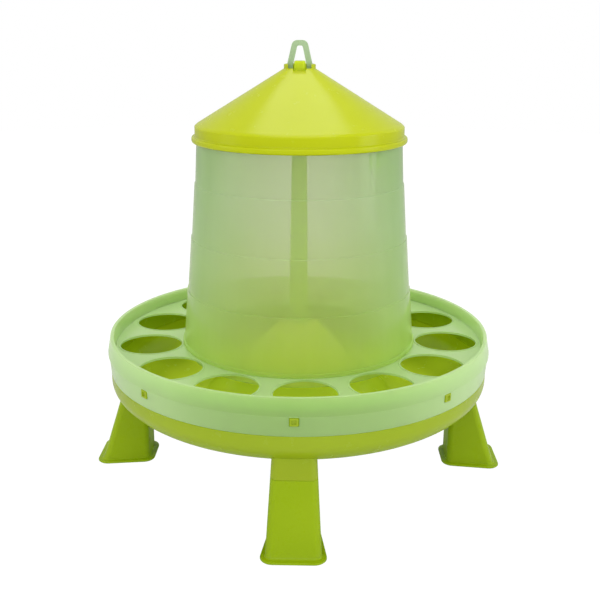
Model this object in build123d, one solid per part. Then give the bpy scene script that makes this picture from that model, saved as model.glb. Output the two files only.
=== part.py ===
from build123d import *
import math
import os

# Hopper feeder for poultry, standing on four legs, with a hanging loop at the top.
# Millimetres. The origin is on the vertical axis at floor level, +Z up, and the front leg points to -Y.

# --- overall stations along the axis -------------------------------------------------------------
SOCKET_Z = 72.6            # joint line between a leg and its socket under the dish
DISH_BOTTOM_Z = 78.6       # underside of the trough
LEDGE_Z = 120.5            # ledge of the dish that the ring's skirt stops on
PLATE_Z = 145.0            # top of the ring's perforated plate
RIM_Z = 158.8              # top lip of the ring
SHOULDER_Z = 363.3         # shoulder of the hopper that the lid sits on
COLLAR_Z = 442.4           # top of the lid's collar
LOOP_TOP_Z = 466.0         # top of the hanging loop

GAP = 0.3                  # clearance between neighbouring mouldings
WALL = 2.2                 # common wall of the mouldings
LEGS = 4
STUDS = 8

# --- dish ---------------------------------------------------------------------------------------
DISH_R = 207.5             # widest outside radius
DISH_TURN_R = 143.0        # where the flat trough bottom starts to curve up
DISH_TURN_Z = 111.5        # where the curve becomes a vertical wall
DISH_WALL_R = 205.4        # outside of the thinner wall that stands inside the ring
DISH_WALL_T = 1.8
DISH_TOP_Z = 146.0
CONE_FOOT_R = 104.0        # outside foot of the centre cone, where the trough begins
CONE_TOP_R = 19.0
CONE_TOP_Z = 166.0
ROD_SEAT_R = 8.3           # hole in the cone's top for the rod's shank
STUD_Z = 136.0
STUD_SIZE = 8.2
STUD_DIMPLE = 4.6          # square hollow in a stud's face
DIMPLE_DEPTH = 1.4
STUD_R = 210.0

# --- feeding ring ---------------------------------------------------------------------------------
PLATE_T = 1.8
PLATE_HOLE_R = 121.6       # central opening that the hopper's spigot goes through
WINDOW_SIZE = 9.6
FEED_HOLES = 13
FEED_HOLE_R = 163.4        # radius of the circle of hole centres
FEED_HOLE_A = 31.4         # half width across
FEED_HOLE_B = 33.2         # half width along the radius
FEED_HOLE_PHASE = 3.45     # degrees from the front leg towards +X
LIP_W = 1.8                # width of the raised lip round each feed hole
LIP_UP = 0.7

# --- hopper ---------------------------------------------------------------------------------------
STEP_ZS = (206.2, 263.7, 320.9)      # the three moulded steps
STEP_RS = (122.0, 116.5, 111.4)      # outside radius just below each step
STEP = 0.9                           # how much each step pulls in
BASE_R = 126.6
BEAD_R = 128.3
SPIGOT_R = 120.6
SPIGOT_Z = 133.0
SHOULDER_R = 108.3
NECK_R = 105.6
NECK_TOP_Z = 377.5
HOPPER_WALL = 2.0

# --- lid ------------------------------------------------------------------------------------------
LID_BEAD_R = 113.2
LID_BEAD_TOP_Z = 369.6
LID_BAND_R = 109.8
LID_EDGE_Z = 380.0
LID_CONE_R = 107.2
LID_CONE_Z = 382.2
LID_WALL = 1.9
COLLAR_R = 16.5
COLLAR_BASE_Z = 437.8
COLLAR_GAP_W = 24.0        # the collar's opening at the front
COLLAR_NOTCH = 1.5
COLLAR_SLOT_W = 28.4       # across the loop's legs
COLLAR_SLOT_D = 7.0
COLLAR_BORE_R = 8.8        # lets the rod through
TONGUE_ANGLES = (48.0, 228.0)
TONGUE_DROP = 18.0
TONGUE_W = 3.2
TONGUE_PITCH = 12.0

# --- rod and loop -----------------------------------------------------------------------------------
ROD_TOP_Z = 445.6
ROD_HEAD_W = 11.8
ROD_HEAD_BASE_Z = 418.0
ROD_W_TOP = 14.4           # across the ribs at the top of the rod
ROD_W_FOOT = 20.5
ROD_RIB = 2.6
ROD_COLLAR_Z = 166.2
SHANK_R = 8.0
SHANK_END_Z = 140.0
LOOP_T = 4.6               # thickness of the loop, front to back
LOOP_TOP_HALF = 7.4
LOOP_KNEE_Z = 440.0        # below this the loop's legs run straight down beside the rod's head
LOOP_KNEE_HALF = 13.6
LOOP_KNEE_IN = 7.3
LOOP_FOOT_Z = 421.0
LOOP_BAR = 5.4
LOOP_EYE_HALF = 2.7        # half width of the eye at its top, where a hook sits

# --- legs -------------------------------------------------------------------------------------------
LEG_IN_R = 171.0           # vertical inner face
LEG_OUT_TOP_R = 201.3      # outer face at the socket
LEG_OUT_FOOT_R = 224.2     # outer face at the floor
LEG_HALF_TOP = 23.8        # half width of the outer face at the socket
LEG_HALF_FOOT = 28.1
LEG_SIDE = 0.135           # how fast the half width grows with the radius
LEG_CORNER = 7.0
FLANGE = 5.4               # how far the foot's flange stands out
FLANGE_T = 2.6
SPIGOT_UP = 8.4            # how far a leg plugs into its socket


def turned(points, radii):
    """A solid of revolution about the axis from (radius, height) points and the corner radii between them."""
    line = FilletPolyline(*points, radius=radii, close=True)
    return revolve(make_face(Plane.XZ * line), Axis.Z, 360)


def around(count, first=0.0):
    """Angles in degrees about +Z that place copies evenly, counted from the front and towards +X."""
    return [first + 360.0 * i / count for i in range(count)]


def placed(shape, angle):
    """A shape modelled at the front (-Y), turned towards +X by the angle."""
    return Rot(0, 0, angle) * shape


def joined(shapes):
    """One solid from shapes that overlap."""
    total = shapes[0]
    for shape in shapes[1:]:
        total = total + shape
    return total


def leg_outer_r(z):
    """Radius of a leg's outer face at a height."""
    return LEG_OUT_FOOT_R + (LEG_OUT_TOP_R - LEG_OUT_FOOT_R) * z / SOCKET_Z


def leg_half(z):
    """Half width of a leg's outer face at a height."""
    return LEG_HALF_FOOT + (LEG_HALF_TOP - LEG_HALF_FOOT) * z / SOCKET_Z


def leg_section(z, grow=0.0, corner=LEG_CORNER):
    """The wedge-shaped section of the front leg at a height, grown outwards by an offset."""
    outer = leg_outer_r(z) + grow
    inner = LEG_IN_R - grow
    half_out = leg_half(z) + grow
    half_in = half_out - LEG_SIDE * (outer - inner)
    corners = [(-half_in, -inner), (half_in, -inner), (half_out, -outer), (-half_out, -outer)]
    face = make_face(Polyline(*corners, close=True))
    face = fillet(face.vertices(), corner)
    return Pos(0, 0, z) * face


def leg_block(z0, z1, grow=0.0, corner=LEG_CORNER):
    """The leg's tapering block between two heights."""
    return loft([leg_section(z0, grow, corner), leg_section(z1, grow, corner)])


def make_leg():
    """One hollow leg: splayed box, flange at the foot, and a plug that goes up into the socket."""
    body = leg_block(0, SOCKET_Z - 0.1)
    flange = extrude(leg_section(0, FLANGE, LEG_CORNER + FLANGE), FLANGE_T)
    flange = fillet(flange.edges().group_by(Axis.Z)[-1], 1.0)
    plug = leg_block(SOCKET_Z - 4.0, SOCKET_Z + SPIGOT_UP, -(WALL + GAP), LEG_CORNER - WALL)
    hollow = leg_block(-1.0, SOCKET_Z - 3.0, -WALL, LEG_CORNER - WALL)
    plug_hollow = leg_block(SOCKET_Z - 4.0, SOCKET_Z + SPIGOT_UP + 1, -(2 * WALL + GAP), 2.0)
    return body + flange + plug - hollow - plug_hollow


def trough_turn(offset):
    """The elliptical curve from the trough's bottom up to the dish's wall, inset by an offset."""
    return EllipticalCenterArc((DISH_TURN_R, DISH_TURN_Z), DISH_R - offset - DISH_TURN_R,
                               DISH_TURN_Z - DISH_BOTTOM_Z - offset, start_angle=270, arc_size=90)


def dish_cavity():
    """The space inside the dish, above its moulded wall."""
    turn = trough_turn(WALL)
    wall_in = DISH_WALL_R - DISH_WALL_T
    side = Polyline(turn @ 1, (DISH_R - WALL, LEDGE_Z - WALL), (wall_in, LEDGE_Z), (wall_in, 170), (0, 170),
                    (0, CONE_TOP_Z), (CONE_TOP_R, CONE_TOP_Z), (CONE_FOOT_R, DISH_BOTTOM_Z + WALL), turn @ 0)
    return revolve(make_face(Plane.XZ * (turn + side)), Axis.Z, 360)


def make_dish():
    """The dish: trough, centre cone, wall with studs, and a socket for each leg."""
    turn = trough_turn(0)
    side = Polyline(turn @ 1, (DISH_R, LEDGE_Z), (DISH_WALL_R, LEDGE_Z), (DISH_WALL_R, DISH_TOP_Z),
                    (CONE_FOOT_R, DISH_TOP_Z), (CONE_TOP_R, CONE_TOP_Z + 0.5), (ROD_SEAT_R, CONE_TOP_Z + 0.5),
                    (ROD_SEAT_R, CONE_TOP_Z - 2.6), (CONE_TOP_R - 1.5, CONE_TOP_Z - 2.6),
                    (CONE_FOOT_R - 2.5, DISH_BOTTOM_Z), turn @ 0)
    filled = revolve(make_face(Plane.XZ * (turn + side)), Axis.Z, 360)
    socket = leg_block(SOCKET_Z, 104.0) - leg_block(SOCKET_Z - 1, 105.0, -WALL, LEG_CORNER - WALL)
    filled = joined([filled] + [placed(socket, a) for a in around(LEGS)])
    shell = filled - dish_cavity()
    depth = STUD_R - DISH_WALL_R + 0.8
    stud = Pos(0, -(STUD_R - depth / 2), STUD_Z) * Box(STUD_SIZE, depth, STUD_SIZE)
    stud = chamfer(stud.faces().sort_by(Axis.Y)[0].edges(), 0.9)
    stud -= Pos(0, -STUD_R, STUD_Z) * Box(STUD_DIMPLE, 2 * DIMPLE_DEPTH, STUD_DIMPLE)
    return joined([shell] + [placed(stud, a) for a in around(STUDS)])


def feed_hole(grow, z0, z1):
    """An upright elliptical block at the front feed hole."""
    section = Pos(0, -FEED_HOLE_R, z0) * Ellipse(FEED_HOLE_A + grow, FEED_HOLE_B + grow)
    return extrude(section, z1 - z0)


def make_ring():
    """The ring that fences the trough: perforated plate, raised rim and skirt with windows."""
    skirt_in = DISH_WALL_R + 0.4
    outline = [(PLATE_HOLE_R, PLATE_Z - PLATE_T), (PLATE_HOLE_R, PLATE_Z), (200.6, PLATE_Z),
               (203.3, RIM_Z), (206.8, RIM_Z), (210.0, 141.2), (210.0, 140.4), (209.0, 140.0),
               (207.6, LEDGE_Z + 0.3), (skirt_in, LEDGE_Z + 0.3), (207.0, 139.5), (205.2, RIM_Z - 3.2),
               (205.0, RIM_Z - 3.2), (202.4, PLATE_Z - PLATE_T)]
    corners = [1.0, 1.0, 2.6, 1.5, 1.6, 0.2, 0.2, 0.3, 0.5, 0.5, 1.0, 0, 0, 1.2]
    ring = turned(outline, corners)
    lip = feed_hole(LIP_W, PLATE_Z - PLATE_T, PLATE_Z + LIP_UP)
    lip = fillet(lip.edges().group_by(Axis.Z)[-1], 0.5)
    cut = feed_hole(0, PLATE_Z - PLATE_T - 1, PLATE_Z + LIP_UP + 1)
    angles = around(FEED_HOLES, FEED_HOLE_PHASE)
    ring = joined([ring] + [placed(lip, a) for a in angles])
    window = Pos(0, -DISH_WALL_R - 3, STUD_Z) * Box(WINDOW_SIZE, 12, WINDOW_SIZE)
    cuts = [placed(cut, a) for a in angles] + [placed(window, a) for a in around(STUDS)]
    return ring - joined(cuts)


def make_hopper():
    """The tapering hopper, open at both ends, with three steps, a shoulder for the lid and a spigot."""
    outside = [(SPIGOT_R, SPIGOT_Z), (SPIGOT_R, PLATE_Z + GAP), (BEAD_R, PLATE_Z + GAP),
               (BEAD_R, PLATE_Z + 4.2), (BASE_R, PLATE_Z + 5.0)]
    for z, r in zip(STEP_ZS, STEP_RS):
        outside += [(r, z - 0.3), (r - STEP, z + 0.3)]
    outside += [(SHOULDER_R, SHOULDER_Z), (NECK_R, SHOULDER_Z), (NECK_R, NECK_TOP_Z)]
    inside = [(NECK_R - HOPPER_WALL, NECK_TOP_Z), (NECK_R - HOPPER_WALL, SHOULDER_Z - 1.6),
              (SHOULDER_R - HOPPER_WALL, SHOULDER_Z - 4.5)]
    for z, r in reversed(list(zip(STEP_ZS, STEP_RS))):
        inside += [(r - HOPPER_WALL - STEP / 2, z)]
    inside += [(BASE_R - HOPPER_WALL, PLATE_Z + 9.0), (SPIGOT_R - HOPPER_WALL, PLATE_Z - 2.0),
               (SPIGOT_R - HOPPER_WALL, SPIGOT_Z)]
    corners = [0.4, 0, 1.6, 1.6, 1.0] + [0.25, 0.25] * 3 + [0.8, 0.8, 0.8]
    corners += [0.8, 0.8, 0.8] + [5.0] * 3 + [3.0, 2.0, 0.4]
    return turned(outside + inside, corners)


def make_lid():
    """The conical lid with its rolled bead, open-fronted collar and locating tongues."""
    top = COLLAR_BASE_Z
    slope = (top - LID_CONE_Z) / (LID_CONE_R - COLLAR_R)
    inner_r = LID_BAND_R - LID_WALL
    bottom = SHOULDER_Z + GAP
    outline = [(inner_r, bottom), (LID_BEAD_R, bottom), (LID_BEAD_R, LID_BEAD_TOP_Z),
               (LID_BAND_R, LID_BEAD_TOP_Z), (LID_BAND_R, LID_EDGE_Z), (LID_CONE_R, LID_CONE_Z),
               (COLLAR_R, top), (COLLAR_R, COLLAR_Z), (12.5, COLLAR_Z), (12.5, top),
               (5.0, top + 0.6), (5.0, top - 2.6), (COLLAR_R - 3.0, top - 2.6),
               (inner_r - 1.2, LID_CONE_Z - LID_WALL * 1.2), (inner_r, LID_EDGE_Z - 2.0)]
    corners = [0.4, 2.2, 2.1, 1.2, 1.2, 1.2, 1.0, 0.8, 0.6, 0.4, 0, 0, 0.8, 0.6, 0.8]
    lid = turned(outline, corners)
    # the collar's wall is cut away at the front, with a shallow notch as wide as the rod's head
    lid -= Pos(0, -15.0, top + 5.0) * Box(COLLAR_GAP_W, 30.0, 10.0)
    lid -= Pos(0, -13.0, top) * Box(ROD_HEAD_W + 1.6, 14.0, 2 * COLLAR_NOTCH)
    lid -= Pos(0, 0, top) * Box(COLLAR_SLOT_W, COLLAR_SLOT_D, 30.0)
    lid -= Pos(0, 0, top) * Cylinder(COLLAR_BORE_R, 30.0)
    tongue_z = SHOULDER_Z - TONGUE_DROP
    height = LID_EDGE_Z + 4.0 - tongue_z
    r_mid = NECK_R - HOPPER_WALL - 1.7
    tongues = []
    for angle in TONGUE_ANGLES:
        for side in (-1, 1):
            x = side * TONGUE_PITCH / 2
            blade = Pos(x, -r_mid + 0.6, tongue_z + height / 2) * Box(TONGUE_W, 1.6, height)
            tongues.append(placed(blade, angle))
        bridge = Pos(0, -r_mid + 0.6, LID_EDGE_Z) * Box(TONGUE_PITCH + TONGUE_W, 1.6, 6.0)
        tongues.append(placed(bridge, angle))
    return joined([lid] + tongues)


def make_rod():
    """The carrying rod: ribbed cross section, square head, flange and a shank through the dish."""
    ribs = loft([Pos(0, 0, ROD_COLLAR_Z) * Rectangle(ROD_W_FOOT, ROD_RIB),
                 Pos(0, 0, ROD_HEAD_BASE_Z) * Rectangle(ROD_W_TOP, ROD_RIB)])
    ribs += loft([Pos(0, 0, ROD_COLLAR_Z) * Rectangle(ROD_RIB, ROD_W_FOOT),
                  Pos(0, 0, ROD_HEAD_BASE_Z) * Rectangle(ROD_RIB, ROD_W_TOP)])
    head_h = ROD_TOP_Z - ROD_HEAD_BASE_Z + 2.0
    head = Pos(0, 0, ROD_TOP_Z - head_h / 2) * Box(ROD_HEAD_W, ROD_HEAD_W, head_h)
    head = fillet(head.edges().filter_by(Axis.Z), 3.0)
    head = fillet(head.edges().group_by(Axis.Z)[-1], 1.4)
    flange = Pos(0, 0, ROD_COLLAR_Z + 2.0) * Cylinder(14.0, 3.0)
    shank_len = ROD_COLLAR_Z + 2.0 - SHANK_END_Z
    shank = Pos(0, 0, SHANK_END_Z + shank_len / 2) * Cylinder(SHANK_R, shank_len)
    shank = chamfer(shank.edges().group_by(Axis.Z)[0], 1.0)
    return ribs + head + flange + shank


def make_loop():
    """The hanging loop, an inverted V whose feet clip against the sides of the rod's head."""
    def outline(points, radii):
        left = [(-x, z) for x, z in reversed(points)]
        return make_face(Plane.XZ * FilletPolyline(*points, *left, radius=radii + radii[::-1], close=True))
    top_z = LOOP_TOP_Z - LOOP_BAR
    head = ROD_HEAD_W / 2 + GAP
    face = outline([(LOOP_KNEE_HALF, LOOP_FOOT_Z), (LOOP_KNEE_HALF, LOOP_KNEE_Z), (LOOP_TOP_HALF, LOOP_TOP_Z)],
                   [1.0, 6.0, 6.0])
    hole = outline([(head, LOOP_FOOT_Z - 5), (head, LOOP_KNEE_Z - 8), (LOOP_KNEE_IN, LOOP_KNEE_Z),
                    (LOOP_EYE_HALF, top_z)], [0, 3.0, 6.0, 2.1])
    loop = extrude(face, LOOP_T / 2, both=True) - extrude(hole, 10, both=True)
    sides = loop.faces().sort_by(Axis.Y)
    return chamfer(sides[0].edges() + sides[-1].edges(), 0.7)


def make_nut():
    """The moulded nut that holds the rod's shank from under the dish."""
    top = CONE_TOP_Z - 2.6 - GAP
    hub = Pos(0, 0, top - 6.0) * Cylinder(13.0, 12.0)
    hub = fillet(hub.edges().group_by(Axis.Z)[0], 1.5)
    wings = []
    for side in (-1, 1):
        wing = Pos(side * 15.0, 0, top - 8.2) * Box(12.0, 3.4, 7.0)
        wings.append(fillet(wing.edges().filter_by(Axis.Y), 1.6))
    return hub + wings[0] + wings[1] - Pos(0, 0, top - 6.0) * Cylinder(SHANK_R + 0.1, 40.0)


def build():
    """Every piece of the feeder by name."""
    leg = make_leg()
    names = ("leg_front", "leg_right", "leg_back", "leg_left")
    parts = {name: placed(leg, angle) for name, angle in zip(names, around(LEGS))}
    parts["dish"] = make_dish()
    parts["feeding_ring"] = make_ring()
    parts["hopper"] = make_hopper()
    parts["lid"] = make_lid()
    parts["rod"] = make_rod()
    parts["hanging_loop"] = make_loop()
    parts["rod_nut"] = make_nut()
    return parts


if __name__ == "__main__":
    os.makedirs("parts", exist_ok=True)
    for name, shape in build().items():
        export_step(shape, f"parts/{name}.step")
        box = shape.bounding_box()
        solids = len(shape.solids())
        print(f"{name:14s} solids {solids} volume {shape.volume / 1000:8.1f} cm3 "
              f"z {box.min.Z:7.2f} {box.max.Z:7.2f}")
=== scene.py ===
import math

import bmesh
import bpy
from mathutils import Matrix, Vector


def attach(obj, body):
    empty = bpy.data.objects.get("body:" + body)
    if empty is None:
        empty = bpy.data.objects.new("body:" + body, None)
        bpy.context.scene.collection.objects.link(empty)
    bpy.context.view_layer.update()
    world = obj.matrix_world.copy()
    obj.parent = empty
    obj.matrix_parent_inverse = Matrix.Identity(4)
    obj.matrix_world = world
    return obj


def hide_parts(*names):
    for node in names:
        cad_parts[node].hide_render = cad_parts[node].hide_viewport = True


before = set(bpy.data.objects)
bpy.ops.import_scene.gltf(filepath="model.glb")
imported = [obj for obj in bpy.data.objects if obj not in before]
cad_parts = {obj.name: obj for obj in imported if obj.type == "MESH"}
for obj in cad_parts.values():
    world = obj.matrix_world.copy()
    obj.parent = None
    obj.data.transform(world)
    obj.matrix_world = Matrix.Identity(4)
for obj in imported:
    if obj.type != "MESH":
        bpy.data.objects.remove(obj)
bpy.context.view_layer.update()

# A hopper feeder for poultry. The meshes are drawn in millimetres in the CAD frame: the origin is on the
# axis at floor level, +Z is up and the front leg points to -Y. MM turns them into Blender's metres.
MM = 0.001
FEED_HOLES = 13
AROUND = 24 * FEED_HOLES   # segments of the large turned pieces, a whole number for each feed hole
SHARP = math.radians(32)   # edges sharper than this aren't shaded smooth

# --- sizes shared by several pieces ------------------------------------------------------------------
PLATE_Z = 145.0            # top of the feeding ring's plate
LEDGE_Z = 120.5            # ledge of the dish under the ring's skirt
SHOULDER_Z = 363.3         # shoulder of the hopper under the lid
SOCKET_Z = 72.6            # joint line between a leg and its socket
GAP = 0.3                  # clearance between neighbouring mouldings
WALL = 2.2                 # common wall of the mouldings
DISH_WALL_R = 205.4        # outside of the dish's wall, which stands inside the ring
STUD_Z = 136.0             # middle of the dish's studs and of the ring's windows
STUDS = 8
LEG_NAMES = ("leg_front", "leg_right", "leg_back", "leg_left")

# --- leg's wedge-shaped section ----------------------------------------------------------------------
LEG_IN_R = 171.0               # vertical inner face
LEG_OUT_R = (224.2, 201.3)     # outer face at the floor and at the socket
LEG_HALF = (28.1, 23.8)        # its half width at the floor and at the socket
LEG_SIDE = 0.135               # how fast the half width grows with the radius
LEG_CORNER = 7.0


# --- mesh helpers --------------------------------------------------------------------------------------
def rounded(points, steps=6):
    """A closed outline with its corners rounded. Each point is (x, y, radius)."""
    out = []
    count = len(points)
    for i, (x, y, radius) in enumerate(points):
        here = Vector((x, y))
        back = Vector(points[i - 1][:2]) - here
        on = Vector(points[(i + 1) % count][:2]) - here
        if radius <= 0:
            out.append((x, y))
            continue
        half = back.angle(on) / 2
        reach = min(radius / math.tan(half), back.length * 0.499, on.length * 0.499)
        radius = reach * math.tan(half)
        centre = here + (back.normalized() + on.normalized()).normalized() * (radius / math.sin(half))
        start = here + back.normalized() * reach - centre
        stop = here + on.normalized() * reach - centre
        turn = start.angle_signed(stop)
        n = max(2, round(steps * abs(turn) / (math.pi / 2)))
        for k in range(n + 1):
            spoke = start.copy()
            spoke.rotate(Matrix.Rotation(-turn * k / n, 2))
            out.append(tuple(centre + spoke))
    return out


def smooth_shading(mesh):
    mesh.polygons.foreach_set("use_smooth", [True] * len(mesh.polygons))
    mesh.set_sharp_from_angle(angle=SHARP)


def finish_mesh(bm, name="cutter"):
    """An object from a bmesh in millimetres, scaled to metres."""
    bmesh.ops.remove_doubles(bm, verts=bm.verts, dist=2e-3)
    bmesh.ops.scale(bm, verts=bm.verts, vec=(MM, MM, MM))
    bmesh.ops.recalc_face_normals(bm, faces=bm.faces)
    mesh = bpy.data.meshes.new(name)
    bm.to_mesh(mesh)
    bm.free()
    smooth_shading(mesh)
    obj = bpy.data.objects.new(name, mesh)
    bpy.context.scene.collection.objects.link(obj)
    return obj


def skin(bm, loops, close_ends=False, wrap=False):
    """Quads between successive closed loops of points. wrap also joins the last loop to the first."""
    rows = [[bm.verts.new(p) for p in loop] for loop in loops]
    pairs = list(zip(rows, rows[1:]))
    if wrap:
        pairs.append((rows[-1], rows[0]))
    for low, high in pairs:
        n = len(low)
        for i in range(n):
            j = (i + 1) % n
            bm.faces.new((low[i], low[j], high[j], high[i]))
    if close_ends:
        bm.faces.new(rows[0])
        bm.faces.new(rows[-1])


def turned_loops(outline, segments=AROUND, first=0.0):
    """The circles that an outline of (radius, height) sweeps about the axis."""
    loops = []
    for r, z in outline:
        angles = [first + 2 * math.pi * k / segments for k in range(segments)]
        loops.append([(r * math.sin(a), -r * math.cos(a), z) for a in angles])
    return loops


def turned(name, points, steps=6):
    """A turned solid from an outline of (radius, height, corner radius)."""
    bm = bmesh.new()
    skin(bm, turned_loops(rounded(points, steps)), wrap=True)
    return finish_mesh(bm, name)


def stack(loops):
    """A solid skinned over closed loops of points, with both ends closed."""
    bm = bmesh.new()
    skin(bm, loops, close_ends=True)
    return finish_mesh(bm)


def block(size, at, radius):
    """A box in millimetres with rounded edges."""
    bm = bmesh.new()
    bmesh.ops.create_cube(bm, size=1.0)
    bmesh.ops.scale(bm, verts=bm.verts, vec=size)
    bmesh.ops.translate(bm, verts=bm.verts, vec=at)
    bmesh.ops.bevel(bm, geom=bm.edges[:], offset=radius, segments=4, profile=0.5, affect="EDGES")
    return finish_mesh(bm)


def turn_to(obj, angle):
    """Turns an object's mesh about the axis, from the front towards +X, in degrees."""
    obj.data.transform(Matrix.Rotation(math.radians(angle), 4, "Z"))
    return obj


def around(count):
    return [360.0 * i / count for i in range(count)]


def combine(obj, others, operation):
    """Applies a boolean with each of the others, which are used up."""
    for other in others:
        mod = obj.modifiers.new("cut", "BOOLEAN")
        mod.operation = operation
        mod.solver = "EXACT"
        mod.object = other
    bpy.context.view_layer.update()
    made = bpy.data.meshes.new_from_object(obj.evaluated_get(bpy.context.evaluated_depsgraph_get()))
    obj.modifiers.clear()
    old, obj.data = obj.data, made
    obj.data.name = obj.name
    bpy.data.meshes.remove(old)
    for other in others:
        bpy.data.meshes.remove(other.data)
    smooth_shading(made)
    return obj


# --- pieces ----------------------------------------------------------------------------------------------
def make_hopper():
    """The tapering hopper: spigot and bead at the foot, three steps, shoulder and neck under the lid."""
    steps = ((206.2, 122.0), (263.7, 116.5), (320.9, 111.4))     # height of a step and the radius below it
    step_in, half_step, wall = 0.9, 0.35, 2.0
    spigot_r, spigot_z, bead_r, base_r = 120.6, 133.0, 128.3, 126.6
    shoulder_r, neck_r, neck_z = 108.3, 105.6, 377.5
    seat = PLATE_Z + GAP
    outside = [(spigot_r, spigot_z, 0.4), (spigot_r, seat, 0.3), (bead_r, seat, 1.6),
               (bead_r, PLATE_Z + 4.2, 1.6), (base_r, PLATE_Z + 5.0, 1.0)]
    for z, r in steps:
        outside += [(r, z - half_step, half_step), (r - step_in, z + half_step, half_step)]
    outside += [(shoulder_r, SHOULDER_Z, 0.8), (neck_r, SHOULDER_Z, 0.8), (neck_r, neck_z, 0.8)]
    inside = [(neck_r - wall, neck_z, 0.8), (neck_r - wall, SHOULDER_Z - 1.6, 0.8),
              (shoulder_r - wall, SHOULDER_Z - 4.5, 0.8)]
    inside += [(r - wall - step_in / 2, z, 5.0) for z, r in reversed(steps)]
    inside += [(base_r - wall, PLATE_Z + 9.0, 3.0), (spigot_r - wall, PLATE_Z - 2.0, 2.0),
               (spigot_r - wall, spigot_z, 0.4)]
    return turned("hopper_shell", outside + inside, steps=5)


def make_lid():
    """The lid: band with a rolled bead, cone, slotted collar and two pairs of tongues."""
    seat, bead_z, edge_z, cone_z, top, collar_z = SHOULDER_Z + GAP, 369.6, 380.0, 382.2, 437.8, 442.4
    inner_r, cone_r, band_r, bead_r, collar_r = 107.9, 107.2, 109.8, 113.2, 16.5
    roof = top - 2.6
    outline = [(inner_r, seat, 0.5), (bead_r, seat, 2.4), (bead_r, bead_z, 2.3), (band_r, bead_z, 1.6),
               (band_r, edge_z, 1.6), (cone_r, cone_z, 1.4)]
    outline += [(62.0, 409.9, 0), (24.0, 433.2, 0)]              # rings that keep the cone's shading even
    outline += [(collar_r, top, 1.0), (collar_r, collar_z, 1.0), (12.5, collar_z, 0.6), (12.5, top, 0.4),
                (5.0, top + 0.6, 0), (5.0, roof, 0), (13.5, roof, 1.0), (106.7, 379.9, 1.0),
                (inner_r, 378.0, 0.8)]
    lid = turned("lid_shell", outline)
    gap = block((24.0, 30.0, 9.0), (0, -15.0, top + 4.9), 0.5)
    slot = block((28.4, 7.0, 30.0), (0, 0, top), 0.5)
    notch = block((13.4, 14.0, 3.2), (0, -13.0, top), 0.6)
    bore = stack(turned_loops([(8.8, top - 15), (8.8, top + 15)], 64))
    combine(lid, [gap, slot, notch, bore], "DIFFERENCE")
    tongues = []
    tongue_r, foot_z, head_z = 101.3, 345.3, 384.0
    for angle in (48.0, 228.0):
        for x in (-6.0, 6.0):
            blade = block((3.2, 1.6, head_z - foot_z), (x, -tongue_r, (foot_z + head_z) / 2), 0.5)
            tongues.append(turn_to(blade, angle))
        tongues.append(turn_to(block((13.6, 1.3, 6.0), (0, -tongue_r, 380.0), 0.4), angle))
    return combine(lid, tongues, "UNION")


def leg_section(z, grow=0.0, corner=LEG_CORNER, at=None):
    """The front leg's section whose size belongs to a height, drawn at that height or another."""
    share = z / SOCKET_Z
    outer = LEG_OUT_R[0] + (LEG_OUT_R[1] - LEG_OUT_R[0]) * share + grow
    half_out = LEG_HALF[0] + (LEG_HALF[1] - LEG_HALF[0]) * share + grow
    inner = LEG_IN_R - grow
    half_in = half_out - LEG_SIDE * (outer - inner)
    corners = [(-half_in, -inner, corner), (-half_out, -outer, corner), (half_out, -outer, corner),
               (half_in, -inner, corner)]
    return [(x, y, z if at is None else at) for x, y in rounded(corners, 8)]


def make_sockets(trough):
    """The four leg sockets in one mesh, cut off where the trough begins."""
    soft = 0.4
    sockets = []
    for angle in around(len(LEG_NAMES)):
        body = [leg_section(SOCKET_Z, -soft, LEG_CORNER - soft),
                leg_section(SOCKET_Z, 0.0, LEG_CORNER, SOCKET_Z + soft)]
        body += [leg_section(z) for z in (80.0, 90.0, 98.0)]
        pocket = [leg_section(z, -WALL, LEG_CORNER - WALL) for z in (SOCKET_Z - 1, 83.0, 100.0)]
        socket = turn_to(stack(body), angle)
        sockets.append(combine(socket, [turn_to(stack(pocket), angle)], "DIFFERENCE"))
    combine(sockets[0], sockets[1:], "UNION")
    return combine(sockets[0], [trough], "DIFFERENCE")


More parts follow.
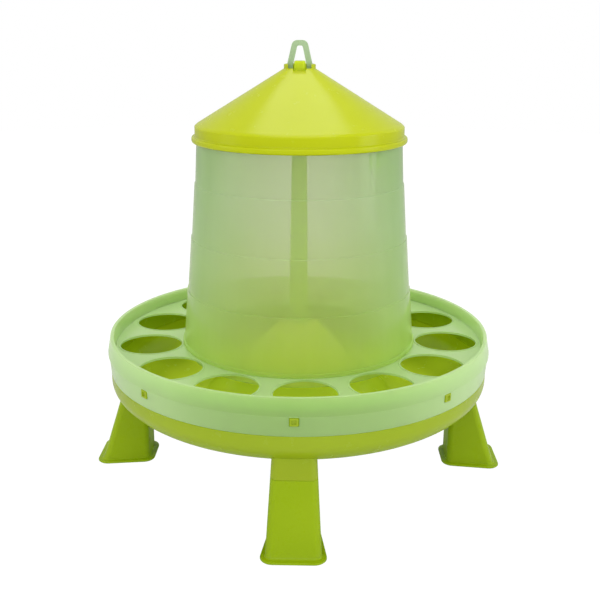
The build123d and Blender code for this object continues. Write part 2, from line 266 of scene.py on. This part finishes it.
def make_dish():
    """The dish: trough, centre cone, thinner wall with studs, and a socket for each leg."""
    turn_r, turn_z, dish_r, bottom = 143.0, 111.5, 207.5, 78.6
    cone_z, cone_roof, seat_r = 166.0, 163.4, 8.3
    wall_z, stud_r, stud_size = 146.0, 210.0, 8.2

    def curve(inset, steps=22):
        """The elliptical curve from the trough's bottom up to its wall."""
        out = []
        for k in range(steps + 1):
            a = math.pi / 2 * k / steps
            out.append((turn_r + (dish_r - inset - turn_r) * math.sin(a),
                        turn_z - (turn_z - bottom - inset) * math.cos(a)))
        return out

    wall_in = DISH_WALL_R - 1.8
    upper = [(dish_r, turn_z + 2, 0), (dish_r, LEDGE_Z, 0.7), (DISH_WALL_R, LEDGE_Z, 0.3),
             (DISH_WALL_R, wall_z, 0.7), (wall_in, wall_z, 0.7), (wall_in, LEDGE_Z, 1.0),
             (dish_r - WALL, LEDGE_Z - WALL, 1.0), (dish_r - WALL, turn_z + 1, 0)]
    outside = curve(0) + rounded(upper)[:-1]
    inside = list(reversed(curve(WALL)))
    cone = rounded([(104.0, bottom + WALL, 6.0), (19.0, cone_z, 2.5), (seat_r, cone_z, 0.4),
                    (seat_r, cone_roof, 0.3), (17.5, cone_roof, 1.5), (101.5, bottom, 6.0),
                    (120.0, bottom, 0)])
    bm = bmesh.new()
    skin(bm, turned_loops(outside + inside + cone), wrap=True)
    dish = finish_mesh(bm, "dish_shell")
    bm = bmesh.new()
    skin(bm, turned_loops(inside + [(turn_r, 120.0), (dish_r - WALL, 120.0)]), wrap=True)
    sockets = make_sockets(finish_mesh(bm))
    studs = []
    depth = stud_r - DISH_WALL_R + 0.8
    for angle in around(STUDS):
        stud = block((stud_size, depth, stud_size), (0, depth / 2 - stud_r, STUD_Z), 0.9)
        hollow = block((4.6, 2.8, 4.6), (0, -stud_r, STUD_Z), 0.5)
        studs.append(turn_to(combine(stud, [hollow], "DIFFERENCE"), angle))
    return combine(dish, [sockets] + studs, "UNION")


def make_ring():
    """The feeding ring: plate with a lipped hole for each bird, raised rim, and a skirt with windows."""
    centre, half_a, half_b = 163.4, 31.4, 33.2                   # the holes' circle and half axes
    phase = math.radians(3.45)                                   # first hole, from the front leg towards +X
    lip_w, lip_up, plate_t = 1.8, 0.7, 1.8
    open_r, inner_r, outer_r, under_r = 121.6, 122.8, 198.95, 201.2
    per_arc, per_side, rings = AROUND // FEED_HOLES, 10, 4
    step = 2 * math.pi / FEED_HOLES
    low, high = PLATE_Z - plate_t, PLATE_Z + lip_up
    bm = bmesh.new()

    def boundary(r_in, r_out):
        """Points (x, y) round one hole's sector of the plate, from the hole's centre."""
        arc = [step * (k / per_arc - 0.5) for k in range(per_arc + 1)]
        radii = [r_out + (r_in - r_out) * k / per_side for k in range(1, per_side)]
        polar = [(r_out, a) for a in arc]
        polar += [(r, arc[-1]) for r in radii]
        polar += [(r_in, a) for a in reversed(arc)]
        polar += [(r, arc[0]) for r in reversed(radii)]
        return [(r * math.sin(a), r * math.cos(a) - centre) for r, a in polar]

    # the plate's two faces share these directions round a hole, so that their loops meet point for point
    ways = [math.atan2(y / half_b, x / half_a) for x, y in boundary(inner_r, outer_r)]

    def sector(turn, r_in, r_out, edge, plate_z):
        """One sector of a face. edge has (distance outside the hole, height) of each loop at the hole."""
        loops = [[((half_a + d) * math.cos(t), (half_b + d) * math.sin(t), z) for t in ways] for d, z in edge]
        foot, rim = loops[-1], boundary(r_in, r_out)
        for k in range(1, rings + 1):
            share = k / rings
            loops.append([(a[0] + (b[0] - a[0]) * share, a[1] + (b[1] - a[1]) * share, plate_z)
                          for a, b in zip(foot, rim)])
        spin = Matrix.Rotation(turn, 3, "Z")
        skin(bm, [[spin @ Vector((x, -(y + centre), z)) for x, y, z in loop] for loop in loops])

    plate_edge = (lip_w + 2, PLATE_Z)
    section = rounded([(0, low, 0.5), (0, high, 0.6), (lip_w, high, 0.6), (lip_w, PLATE_Z, 0.3),
                       (*plate_edge, 0), (lip_w + 2, low, 0)], 5)
    split = section.index(plate_edge)
    upper, lower = section[:split], section[split + 2:] + section[:1]
    lower.reverse()
    for i in range(FEED_HOLES):
        sector(phase + step * i, inner_r, outer_r, upper, PLATE_Z)
        sector(phase + step * i, inner_r, under_r, lower, low)
    rim_z, skirt_z, wall_in = 158.8, LEDGE_Z + GAP, DISH_WALL_R + 0.4
    rim = rounded([(outer_r, PLATE_Z, 0), (200.9, PLATE_Z, 1.9), (203.3, rim_z, 0.8), (206.8, rim_z, 0.9),
                   (210.0, 141.6, 1.2), (210.0, 140.5, 0.45), (208.9, 140.1, 0.4), (207.6, skirt_z, 0.6),
                   (wall_in, skirt_z, 0.5), (207.0, 139.5, 1.0), (205.2, 155.6, 0.1), (205.0, 155.6, 0.1),
                   (202.4, low, 1.0), (under_r, low, 0)], 7)
    lip = rounded([(inner_r, PLATE_Z, 0), (open_r, PLATE_Z, 0.9), (open_r, low, 0.9), (inner_r, low, 0)])
    for outline in (rim, lip):
        skin(bm, turned_loops(outline, first=phase - step / 2))
    ring = finish_mesh(bm, "feeding_ring_shell")
    window = (9.6, 12.0, 9.6)
    windows = [turn_to(block(window, (0, -DISH_WALL_R - 3, STUD_Z), 1.0), a) for a in around(STUDS)]
    return combine(ring, windows, "DIFFERENCE")


def make_leg(name, angle):
    """One leg, hollow from end to end: its skin goes down the inside, round the foot and up over the plug."""
    flange, flange_t, plug_z, c = 5.4, 2.6, 81.0, LEG_CORNER
    big, plug, throat = c + flange, -(WALL + GAP), -(2 * WALL + GAP)
    roof, top = SOCKET_Z - 3.0, SOCKET_Z - 0.1
    loops = [leg_section(plug_z, throat, 2.0), leg_section(roof, throat, 2.0),
             leg_section(roof, -WALL, c - WALL), leg_section(0, -WALL, c - WALL)]
    loops += [leg_section(0, flange - 0.6, big - 0.6), leg_section(0, flange, big, 0.6),
              leg_section(0, flange, big, flange_t - 1.0),
              leg_section(0, flange - 0.4, big - 0.4, flange_t - 0.3),
              leg_section(0, flange - 1.0, big - 1.0, flange_t), leg_section(0, 1.4, c + 1.4, flange_t),
              leg_section(0, 0.5, c + 0.5, flange_t + 0.4), leg_section(2.6, 0.0, c, flange_t + 1.4)]
    loops += [leg_section(SOCKET_Z * k / 8) for k in range(1, 8)]
    loops += [leg_section(top - 0.5), leg_section(top, -0.15, c - 0.15, top - 0.15),
              leg_section(top, -0.5, c - 0.5, top), leg_section(top, plug, c - WALL, top)]
    loops += [leg_section(z, plug, c - WALL) for z in (76.0, plug_z - 0.5)]
    loops += [leg_section(plug_z, plug - 0.5, c - WALL - 0.5)]
    bm = bmesh.new()
    skin(bm, loops, wrap=True)
    return turn_to(finish_mesh(bm, name), angle)


def make_rod():
    """The carrying rod: crossed ribs that widen downwards, a rounded head, a flange and a shank."""
    foot_z, neck_z, head_z = 169.0, 418.5, 445.6
    half_foot, half_neck, half_rib, pieces = 10.25, 7.2, 1.3, 12

    def plus(half, z):
        """The crossed ribs' section."""
        points = []
        for q in range(4):
            a = -q * math.pi / 2
            for x, y, radius in ((half_rib, half, 0.5), (half_rib, half_rib, 1.2), (half, half_rib, 0.5)):
                points.append((x * math.cos(a) - y * math.sin(a), x * math.sin(a) + y * math.cos(a), radius))
        return [(x, y, z) for x, y in rounded(points, 3)]

    def square(half, corner, z):
        """The head's section."""
        points = [(-half, -half, corner), (half, -half, corner), (half, half, corner), (-half, half, corner)]
        return [(x, y, z) for x, y in rounded(points, 5)]

    bm = bmesh.new()
    shares = [k / pieces for k in range(pieces + 1)]
    skin(bm, [plus(half_foot + (half_neck - half_foot) * s, foot_z + (neck_z - foot_z) * s) for s in shares],
         close_ends=True)
    rod = finish_mesh(bm, "rod_moulding")
    head = ((5.4, 2.6, 416.0), (5.9, 3.0, 416.6), (5.9, 3.0, 443.8), (5.75, 2.9, 444.7), (5.2, 2.5, 445.3),
            (4.2, 1.8, head_z))
    bosses = [stack([square(*row) for row in head])]
    for r, low, high in ((14.0, 166.7, 169.7), (8.0, 140.0, 168.0)):
        outline = [(r - 0.6, low), (r, low + 0.6), (r, high - 0.6), (r - 0.6, high)]
        bosses.append(stack(turned_loops(outline, 64)))
    return combine(rod, bosses, "UNION")


def make_loop():
    """The hanging loop: an inverted V whose legs run down beside the rod's head."""
    foot_z, knee_z, top_z, eye_z, half_depth = 421.0, 440.0, 466.0, 460.6, 2.3

    def arch(points):
        """A symmetrical outline from its right half, given from the foot to the top."""
        return rounded(points + [(-x, z, r) for x, z, r in reversed(points)], 10)

    outer = arch([(13.6, foot_z, 1.0), (13.6, knee_z, 6.0), (7.4, top_z, 6.0)])
    inner = arch([(6.2, foot_z, 0.0), (6.2, 432.0, 3.0), (7.3, knee_z, 6.0), (2.7, eye_z, 2.1)])
    outline = outer + list(reversed(inner))
    bm = bmesh.new()
    faces = [[bm.verts.new((x, y, z)) for x, z in outline] for y in (-half_depth, half_depth)]
    for face in faces:
        edges = [bm.edges.new((face[i - 1], face[i])) for i in range(len(face))]
        bmesh.ops.triangle_fill(bm, edges=edges, use_beauty=True)
    front, back = faces
    for i in range(len(outline)):
        bm.faces.new((front[i - 1], front[i], back[i], back[i - 1]))
    loop = finish_mesh(bm, "hanging_loop_bar")
    soft = loop.modifiers.new("soft edges", "BEVEL")
    soft.width, soft.segments, soft.limit_method, soft.angle_limit = 0.0011, 3, "ANGLE", math.radians(50)
    return loop


# --- materials -------------------------------------------------------------------------------------------
def node(tree, kind, **values):
    """A new node, with its sockets and settings given by name."""
    made = tree.nodes.new(kind)
    for key, value in values.items():
        if key in made.inputs:
            made.inputs[key].default_value = value
        else:
            setattr(made, key, value)
    return made


def noise_at(tree, coords, scale, detail=3.0, roughness=0.5):
    made = node(tree, "ShaderNodeTexNoise", Scale=scale, Detail=detail, Roughness=roughness)
    tree.links.new(coords, made.inputs["Vector"])
    return made.outputs["Fac"]


def ramp(tree, source, low, high, out_low, out_high):
    """Maps a node's output from one range to another, clamped."""
    made = node(tree, "ShaderNodeMapRange")
    for key, value in (("From Min", low), ("From Max", high), ("To Min", out_low), ("To Max", out_high)):
        made.inputs[key].default_value = value
    tree.links.new(source, made.inputs["Value"])
    return made.outputs["Result"]


def two_tone(tree, factor, first, second):
    """Mixes two colours, each given as numbers or as a node's output."""
    made = node(tree, "ShaderNodeMix", data_type="RGBA")
    tree.links.new(factor, made.inputs["Factor"])
    for name, colour in (("A", first), ("B", second)):
        socket = next(i for i in made.inputs if i.type == "RGBA" and i.name == name)
        if isinstance(colour, tuple):
            socket.default_value = (*colour, 1)
        else:
            tree.links.new(colour, socket)
    return next(o for o in made.outputs if o.type == "RGBA")


def bumps(tree, coords, layers):
    """Stacks bump layers of (scale, height in metres)."""
    last = None
    for scale, distance in layers:
        made = node(tree, "ShaderNodeBump", Strength=1.0, Distance=distance)
        tree.links.new(noise_at(tree, coords, scale, 2.0), made.inputs["Height"])
        if last is not None:
            tree.links.new(last, made.inputs["Normal"])
        last = made.outputs["Normal"]
    return last


def with_streaks(tree, coords, clouds, stretch):
    """The colour's clouds averaged with finer ones drawn out along Z, in soft upright streaks."""
    flow = node(tree, "ShaderNodeMapping", Scale=(1.0, 1.0, stretch))
    tree.links.new(coords, flow.inputs["Vector"])
    both = node(tree, "ShaderNodeMath", operation="ADD")
    tree.links.new(clouds, both.inputs[0])
    tree.links.new(noise_at(tree, flow.outputs["Vector"], 55.0, 5.0, 0.6), both.inputs[1])
    half = node(tree, "ShaderNodeMath", operation="MULTIPLY")
    half.inputs[1].default_value = 0.5
    tree.links.new(both.outputs["Value"], half.inputs[0])
    return half.outputs["Value"]


def place_along(tree, coords, measure):
    """The height above the floor or the radius from the axis, in metres."""
    if measure == "height":
        apart = node(tree, "ShaderNodeSeparateXYZ")
        tree.links.new(coords, apart.inputs["Vector"])
        return apart.outputs["Z"]
    flat = node(tree, "ShaderNodeVectorMath", operation="MULTIPLY")
    flat.inputs[1].default_value = (1, 1, 0)
    length = node(tree, "ShaderNodeVectorMath", operation="LENGTH")
    tree.links.new(coords, flat.inputs[0])
    tree.links.new(flat.outputs["Vector"], length.inputs[0])
    return length.outputs["Value"]


def blend_shaders(tree, share, falloff, first, second):
    """Two shaders mixed by one share, or by a share head on and another at the edge."""
    mix = node(tree, "ShaderNodeMixShader")
    if isinstance(share, tuple):
        tilt = node(tree, "ShaderNodeLayerWeight", Blend=falloff)
        tree.links.new(ramp(tree, tilt.outputs["Facing"], 0.0, 1.0, *share), mix.inputs[0])
    else:
        mix.inputs[0].default_value = share
    tree.links.new(first, mix.inputs[1])
    tree.links.new(second, mix.inputs[2])
    return mix.outputs["Shader"]


def plastic(name, tones, rough, peel, shine, translucent, glow, clear=None, through=None, streak=None,
            painted_glow=None, lift=None):
    """Moulded polypropylene.

    tones: the two colours that the clouds mix. rough: the range of the roughness. peel: the bump's layers.
    translucent: the share of light that comes through scattered, in the colour glow.
    clear: the share of light let straight through, in the colour through.
    streak: how much the clouds are drawn out along Z.
    painted_glow: (colour, low, high), painted light: the colour of scattered light at the low height, gone at
    the high one.
    lift: (tone, tone, measure, from, to), other tones that come in along the height or the radius.
    """
    mat = bpy.data.materials.new(name)
    mat.use_nodes = True
    tree = mat.node_tree
    tree.nodes.clear()
    coords = node(tree, "ShaderNodeTexCoord").outputs["Object"]
    clouds = noise_at(tree, coords, 11.0, 4.0)
    if streak:
        clouds = with_streaks(tree, coords, clouds, streak)
    patches = ramp(tree, clouds, 0.32, 0.68, 0, 1)
    colour = two_tone(tree, patches, *tones)
    if lift:
        *lifted, measure, start, full = lift
        span = (start, full, 0, 1) if start < full else (full, start, 1, 0)
        level = ramp(tree, place_along(tree, coords, measure), *span)
        colour = two_tone(tree, level, colour, two_tone(tree, patches, *lifted))
    normal = bumps(tree, coords, peel)
    shader = node(tree, "ShaderNodeBsdfPrincipled")
    shader.inputs["IOR"].default_value = 1.49
    shader.inputs["Specular IOR Level"].default_value = shine
    tree.links.new(colour, shader.inputs["Base Color"])
    tree.links.new(ramp(tree, noise_at(tree, coords, 70.0, 5.0, 0.65), 0.3, 0.72, *rough),
                   shader.inputs["Roughness"])
    tree.links.new(normal, shader.inputs["Normal"])

    diffused = node(tree, "ShaderNodeBsdfTranslucent")
    diffused.inputs["Color"].default_value = (*glow, 1)
    tree.links.new(normal, diffused.inputs["Normal"])
    # painted light: the scattered light's colour is painted by height, with a cloudy edge
    if painted_glow:
        painted_foot_glow, low, high = painted_glow
        swing = 0.05           # how far the clouds shift the change of colour, in metres
        wave = node(tree, "ShaderNodeMath", operation="MULTIPLY_ADD")
        wave.inputs[1].default_value = swing
        tree.links.new(clouds, wave.inputs[0])
        tree.links.new(place_along(tree, coords, "height"), wave.inputs[2])
        level = ramp(tree, wave.outputs["Value"], low + swing / 2, high + swing / 2, 0, 1)
        tree.links.new(two_tone(tree, level, painted_foot_glow, glow), diffused.inputs["Color"])
    result = blend_shaders(tree, translucent, 0.74, shader.outputs["BSDF"], diffused.outputs["BSDF"])
    if clear:
        straight = node(tree, "ShaderNodeBsdfTransparent")
        straight.inputs["Color"].default_value = (*through, 1)
        result = blend_shaders(tree, clear, 0.56, result, straight.outputs["BSDF"])
    tree.links.new(result, node(tree, "ShaderNodeOutputMaterial").inputs["Surface"])
    return mat


# orange peel, as (scale, height in metres) of each layer
FINE = ((900.0, 5.0e-6), (38.0, 2.0e-5))
SMOOTH = ((900.0, 3.0e-6), (30.0, 5.0e-6))

lime = plastic(
    "lime_polypropylene", tones=((0.285, 0.42, 0.002), (0.32, 0.455, 0.005)), rough=(0.24, 0.36), peel=FINE,
    shine=0.18, translucent=0.18, glow=(0.54, 0.72, 0.02))
# painted light: the dish's colour is painted lighter round the foot of its cone, where light gathers
dish_lime = plastic(
    "dish_polypropylene", tones=((0.35, 0.45, 0.012), (0.375, 0.475, 0.016)), rough=(0.18, 0.30), peel=SMOOTH,
    shine=0.35, translucent=0.33, glow=(0.72, 0.86, 0.06),
    lift=((0.84, 0.95, 0.06), (0.88, 0.98, 0.08), "radius", 0.170, 0.120))
# painted light: the lid's tongues, below its rim, are painted a paler, brighter green than the lid they
# belong to, so that they stand out bright in the dim hopper
# the lid's lime is lighter and yellower than the legs': partly its own tone, partly painted light for the
# light that shines through and off the thin lid
lid_lime = plastic(
    "lid_polypropylene", tones=((0.485, 0.545, 0.002), (0.51, 0.57, 0.004)), rough=(0.20, 0.29), peel=SMOOTH,
    shine=0.2, translucent=0.2, glow=(0.75, 0.82, 0.02),
    lift=((0.60, 0.92, 0.20), (0.64, 0.95, 0.24), "height", 0.3634, 0.3628))
# the rod's head is as yellow as the lid
rod_lime = plastic(
    "rod_polypropylene", tones=((0.52, 0.70, 0.03), (0.56, 0.74, 0.05)), rough=(0.24, 0.36), peel=FINE,
    shine=0.25, translucent=0.6, glow=(0.88, 0.99, 0.30),
    lift=((0.72, 0.78, 0.004), (0.76, 0.82, 0.006), "height", 0.40, 0.42))
# painted light: towards its foot the hopper's colour and its scattered light are painted lime, for the light
# from the lime dish inside it
frosted = plastic(
    "frosted_polypropylene", tones=((0.215, 0.41, 0.14), (0.285, 0.48, 0.21)), rough=(0.10, 0.20),
    peel=SMOOTH, shine=0.5, translucent=(0.92, 0.33), glow=(1.0, 1.0, 0.92),
    clear=(0.55, 0.03), through=(0.99, 0.995, 0.95), streak=0.12, painted_glow=((0.98, 1.0, 0.50), 0.15, 0.29),
    lift=((0.37, 0.65, 0.13), (0.45, 0.73, 0.21), "height", 0.21, 0.15))
ring_frosted = plastic(
    "ring_polypropylene", tones=((0.54, 0.74, 0.36), (0.60, 0.79, 0.42)), rough=(0.10, 0.20), peel=SMOOTH,
    shine=0.9, translucent=(0.76, 0.30), glow=(0.82, 0.93, 0.54),
    clear=(0.30, 0.05), through=(0.90, 0.98, 0.78))
loop_frosted = plastic(
    "loop_polypropylene", tones=((0.42, 0.55, 0.36), (0.48, 0.61, 0.42)), rough=(0.24, 0.36), peel=FINE,
    shine=0.4, translucent=0.6, glow=(0.66, 0.78, 0.56), clear=(0.16, 0.04), through=(0.9, 0.97, 0.84))


# --- put the pieces together -----------------------------------------------------------------------------
def place(obj, body, nodes, material):
    obj.data.materials.clear()
    obj.data.materials.append(material)
    even = obj.modifiers.new("even shading", "WEIGHTED_NORMAL")
    even.keep_sharp = True
    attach(obj, body)
    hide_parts(*nodes)


place(make_lid(), "lid", ["lid"], lid_lime)
place(make_hopper(), "hopper", ["hopper"], frosted)
place(make_ring(), "base", ["feeding_ring"], ring_frosted)
place(make_dish(), "base", ["dish"], dish_lime)
place(make_rod(), "base", ["rod"], rod_lime)
place(make_loop(), "base", ["hanging_loop"], loop_frosted)
for leg, angle in zip(LEG_NAMES, around(len(LEG_NAMES))):
    place(make_leg(leg + "_moulding", angle), "base", [leg], lime)
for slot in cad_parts["rod_nut"].material_slots:
    slot.material = lime

# --- floor and surroundings ------------------------------------------------------------------------------
FLOOR_R = 3500.0
PAPER = (0.78, 0.78, 0.78, 1)
WHITE = (1, 1, 1, 1)
PAPER_SEEN = 1.06          # brightness of the paper to the camera
PAPER_SHARE = 0.96         # how much of that the camera sees, over the lit paper with its shadows
WORLD_LIGHT = 0.61
BACKDROP_LIGHT = 1.0       # what the camera sees behind the feeder, and glossy plastic in part
BACKDROP_GLOSS = 0.3


def to_output(tree, shader, kind):
    tree.links.new(shader.outputs[0], node(tree, kind).inputs["Surface"])


bm = bmesh.new()
bmesh.ops.create_circle(bm, cap_ends=True, radius=FLOOR_R, segments=96)
floor = finish_mesh(bm, "floor")
floor_mat = bpy.data.materials.new("white_paper")
floor_mat.use_nodes = True
paper = floor_mat.node_tree
paper.nodes.clear()
lit = node(paper, "ShaderNodeBsdfDiffuse", Color=PAPER)
bright = node(paper, "ShaderNodeEmission", Color=WHITE, Strength=PAPER_SEEN)
path = node(paper, "ShaderNodeLightPath")
share = node(paper, "ShaderNodeMath", operation="MULTIPLY")
share.inputs[1].default_value = PAPER_SHARE
mix = node(paper, "ShaderNodeMixShader")
paper.links.new(path.outputs["Is Camera Ray"], share.inputs[0])
paper.links.new(share.outputs["Value"], mix.inputs[0])
paper.links.new(lit.outputs["BSDF"], mix.inputs[1])
paper.links.new(bright.outputs["Emission"], mix.inputs[2])
to_output(paper, mix, "ShaderNodeOutputMaterial")
floor.data.materials.append(floor_mat)

world = bpy.data.worlds.new("studio")
bpy.context.scene.world = world
world.use_nodes = True
sky = world.node_tree
sky.nodes.clear()
room = node(sky, "ShaderNodeBackground", Color=WHITE, Strength=WORLD_LIGHT)
backdrop = node(sky, "ShaderNodeBackground", Color=WHITE, Strength=BACKDROP_LIGHT)
path = node(sky, "ShaderNodeLightPath")
either = node(sky, "ShaderNodeMath", operation="MULTIPLY_ADD")
either.inputs[1].default_value = BACKDROP_GLOSS
mix = node(sky, "ShaderNodeMixShader")
sky.links.new(path.outputs["Is Glossy Ray"], either.inputs[0])
sky.links.new(path.outputs["Is Camera Ray"], either.inputs[2])
sky.links.new(either.outputs["Value"], mix.inputs[0])
sky.links.new(room.outputs["Background"], mix.inputs[1])
sky.links.new(backdrop.outputs["Background"], mix.inputs[2])
to_output(sky, mix, "ShaderNodeOutputWorld")

scene = bpy.context.scene
scene.view_settings.view_transform = "Standard"
# light scatters many times inside the translucent walls
scene.cycles.max_bounces = 16
scene.cycles.diffuse_bounces = 12
scene.cycles.transparent_max_bounces = 24

# --- lights: name, place and size in metres, power in watts ----------------------------------------------
LIGHTS_AIM = Vector((0, 0, 0.22))
LIGHTS = (("overhead", (0, 0.45, 2.0), (1.2, 1.2), 16),
          ("front", (0.0, -1.95, 1.5), (1.7, 0.6), 12.5),
          ("left", (-1.9, -0.4, 0.8), (0.8, 1.5), 5),
          ("right", (1.9, -0.4, 0.8), (0.8, 1.5), 12),
          ("key", (-1.1, -1.9, 1.2), (0.9, 1.2), 9),
          ("fill", (1.3, -1.7, 0.9), (0.9, 1.2), 5))
for name, at, size, power in LIGHTS:
    light = bpy.data.lights.new(name, "AREA")
    light.shape, light.size, light.size_y, light.energy = "RECTANGLE", size[0], size[1], power
    softbox = bpy.data.objects.new(name, light)
    scene.collection.objects.link(softbox)
    softbox.location = at
    softbox.rotation_euler = (LIGHTS_AIM - Vector(at)).to_track_quat("-Z", "Y").to_euler()

# --- camera: the photograph's viewpoint, from a fitted pinhole camera ------------------------------------
CAMERA_AWAY = 0.9641       # level distance from the axis
CAMERA_HEIGHT = 0.4832
CAMERA_AZIMUTH = math.radians(1.03)
CAMERA_PITCH = math.radians(17.01)
CAMERA_ROLL = math.radians(0.27)
camera_data = bpy.data.cameras.new("camera")
camera_data.lens = 54.45
camera_data.shift_x = 0.0021
camera = bpy.data.objects.new("camera", camera_data)
scene.collection.objects.link(camera)
camera.location = (CAMERA_AWAY * math.sin(CAMERA_AZIMUTH), -CAMERA_AWAY * math.cos(CAMERA_AZIMUTH),
                   CAMERA_HEIGHT)
aim = Matrix.Rotation(CAMERA_AZIMUTH, 4, "Z") @ Matrix.Rotation(math.pi / 2 - CAMERA_PITCH, 4, "X")
camera.rotation_euler = (aim @ Matrix.Rotation(CAMERA_ROLL, 4, "Z")).to_euler()
bpy.context.scene.camera = camera
